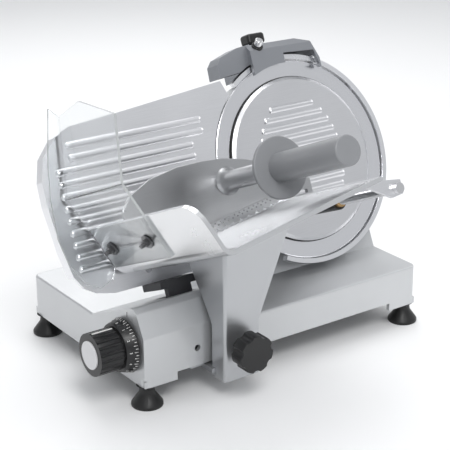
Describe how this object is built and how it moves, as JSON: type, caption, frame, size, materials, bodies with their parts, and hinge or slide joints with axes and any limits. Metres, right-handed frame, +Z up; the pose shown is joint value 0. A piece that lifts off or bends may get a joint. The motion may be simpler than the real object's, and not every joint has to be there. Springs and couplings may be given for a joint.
{
  "type": "deli meat slicer",
  "caption": "Table-top gravity slicer: tilted disc blade with ring guard and sharpener, sliding meat tray with hinged press, and a gauge plate set by a thickness dial.",
  "frame": {"origin": "centre of the overall box, on the counter under the feet", "axes": "+X along the carriage travel away from the thickness dial, +Y from the meat tray towards the motor, +Z up"},
  "size_m": [0.4914, 0.4476, 0.3593],
  "materials": {
    "cast_paint": "cast, with fine satin silver paint",
    "zinc_sheet": "plain zinc plated sheet",
    "housing_paint": "cast, with satin silver paint",
    "screw_steel": "zinc plated",
    "ground_rod": "ground and plated",
    "motor_steel": "black lacquered laminations",
    "shaft_steel": "turned steel",
    "belt_rubber": "moulded ribbed belt",
    "blade_steel": "ground and polished",
    "anodised": "satin anodised",
    "gauge_cast": "plain casting",
    "sharpener_grey": "cast, with mid grey satin paint",
    "black_plastic": "moulded, fine grain",
    "chrome_cap": "polished",
    "stone": "bonded abrasive, rough",
    "dial_cap": "plain pale disc",
    "switch_face": "moulded",
    "start_green": "moulded",
    "stop_red": "moulded",
    "carriage_alloy": "satin anodised casting",
    "bush_bronze": "sintered bronze",
    "tray_alloy": "satin anodised, grooved",
    "clear_sheet": "clear polycarbonate sheet",
    "press_alloy": "brushed",
    "grey_plastic": "moulded, satin",
    "foot_rubber": "moulded"
  },
  "bodies": {
    "base": {"base_casting": "cast_paint", "bottom_cover": "zinc_sheet", "casting_screws": "screw_steel", "carriage_rods": "ground_rod", "gauge_guide_rod": "ground_rod", "drive_cover": "zinc_sheet", "motor_housing": "housing_paint", "motor_body": "motor_steel", "drive_belt": "belt_rubber", "spindle_bearings": "shaft_steel", "blade_cover": "anodised", "cover_tie_rod": "ground_rod", "blade_ring_guard": "anodised", "sharpener_cover": "sharpener_grey", "sharpener_bracket": "gauge_cast", "button_collar": "black_plastic", "switch_plate": "switch_face", "switch_body": "black_plastic", "cable_gland": "black_plastic", "rubber_feet": "foot_rubber"},
    "blade_rotor": {"spindle": "shaft_steel", "spindle_pulley": "shaft_steel", "blade": "blade_steel", "blade_screws": "screw_steel"},
    "motor_rotor": {"motor_shaft": "shaft_steel"},
    "cover_knob": {"cover_release_knob": "black_plastic"},
    "sharpener_clamp": {"sharpener_knob": "black_plastic"},
    "front_stone": {"front_button": "chrome_cap", "grinding_stone": "stone"},
    "rear_stone": {"rear_button": "chrome_cap", "honing_stone": "stone"},
    "start": {"start_button": "start_green"},
    "stop": {"stop_button": "stop_red"},
    "thickness_control": {"thickness_shaft": "ground_rod", "thickness_dial": "black_plastic", "thickness_grip": "black_plastic", "thickness_cap": "dial_cap", "thickness_cam": "shaft_steel"},
    "gauge": {"gauge_plate": "anodised", "gauge_bracket": "gauge_cast", "gauge_screws": "screw_steel", "gauge_slide_block": "shaft_steel"},
    "carriage": {"carriage_block": "carriage_alloy", "carriage_bushes": "bush_bronze", "carriage_arm": "carriage_alloy", "meat_tray": "tray_alloy", "hand_guard": "clear_sheet", "guard_fasteners": "screw_steel", "press_rod": "ground_rod", "rod_brackets": "anodised"},
    "arm_lock": {"star_knob": "black_plastic"},
    "press_slider": {"press_bush": "bush_bronze"},
    "press": {"press_sleeve": "black_plastic", "press_link": "press_alloy", "press_plate": "press_alloy", "grip_strip": "press_alloy", "press_tube": "press_alloy", "finger_guard_disc": "grey_plastic", "press_handle": "grey_plastic"}
  },
  "joints": [
    {"name": "blade_spin", "type": "hinge", "parent": "base", "child": "blade_rotor", "pos_m": [0.11325, 0.0608, 0.21], "axis": [0, -0.9164, 0.4003], "continuous": true},
    {"name": "motor_spin", "type": "hinge", "parent": "base", "child": "motor_rotor", "pos_m": [0.05125, 0.10662, 0.18998], "axis": [0, -0.9164, 0.4003], "continuous": true},
    {"name": "cover_knob_turn", "type": "hinge", "parent": "base", "child": "cover_knob", "pos_m": [0.11325, 0.12495, 0.18198], "axis": [0, -0.9164, 0.4003], "range_deg": [0, 720]},
    {"name": "sharpener_clamp_turn", "type": "hinge", "parent": "base", "child": "sharpener_clamp", "pos_m": [0.09725, 0.13918, 0.33945], "axis": [0, 0.4003, 0.9164], "range_deg": [0, 360]},
    {"name": "front_button_press", "type": "slide", "parent": "base", "child": "front_stone", "axis": [0, 0.4446, -0.8957], "range_m": [0, 0.003], "stiffness_N_per_m": 600, "springref_m": -0.002},
    {"name": "rear_button_press", "type": "slide", "parent": "base", "child": "rear_stone", "axis": [0, -0.9164, 0.4003], "range_m": [0, 0.003], "stiffness_N_per_m": 600, "springref_m": -0.002},
    {"name": "start_press", "type": "slide", "parent": "base", "child": "start", "axis": [0, -1, 0], "range_m": [0, 0.0025], "stiffness_N_per_m": 500, "springref_m": -0.002},
    {"name": "stop_press", "type": "slide", "parent": "base", "child": "stop", "axis": [0, -1, 0], "range_m": [0, 0.0025], "stiffness_N_per_m": 500, "springref_m": -0.002},
    {"name": "thickness_turn", "type": "hinge", "parent": "base", "child": "thickness_control", "pos_m": [-0.19475, -0.0172, 0.07], "axis": [-1, 0, 0], "range_deg": [0, 300]},
    {"name": "gauge_travel", "type": "slide", "parent": "base", "child": "gauge", "axis": [0, 0.9164, -0.4003], "range_m": [0, 0.013]},
    {"name": "carriage_slide", "type": "slide", "parent": "base", "child": "carriage", "axis": [1, 0, 0], "range_m": [-0.036, 0.22]},
    {"name": "arm_lock_turn", "type": "hinge", "parent": "carriage", "child": "arm_lock", "pos_m": [-0.08575, -0.1012, 0.064], "axis": [0, -1, 0], "range_deg": [0, 720]},
    {"name": "press_slide", "type": "slide", "parent": "carriage", "child": "press_slider", "axis": [0, -0.9164, 0.4003], "range_m": [-0.042, 0.096]},
    {"name": "press_swing", "type": "hinge", "parent": "press_slider", "child": "press", "pos_m": [0.05475, -0.02697, 0.18396], "axis": [0, 0.9164, -0.4003], "range_deg": [0, 100]}
  ],
  "couplings": [
    {"joint": "motor_spin", "follows": "blade_spin", "ratio": 2.6154},
    {"joint": "thickness_turn", "follows": "gauge_travel", "rad_per_m": 402.7}
  ]
}
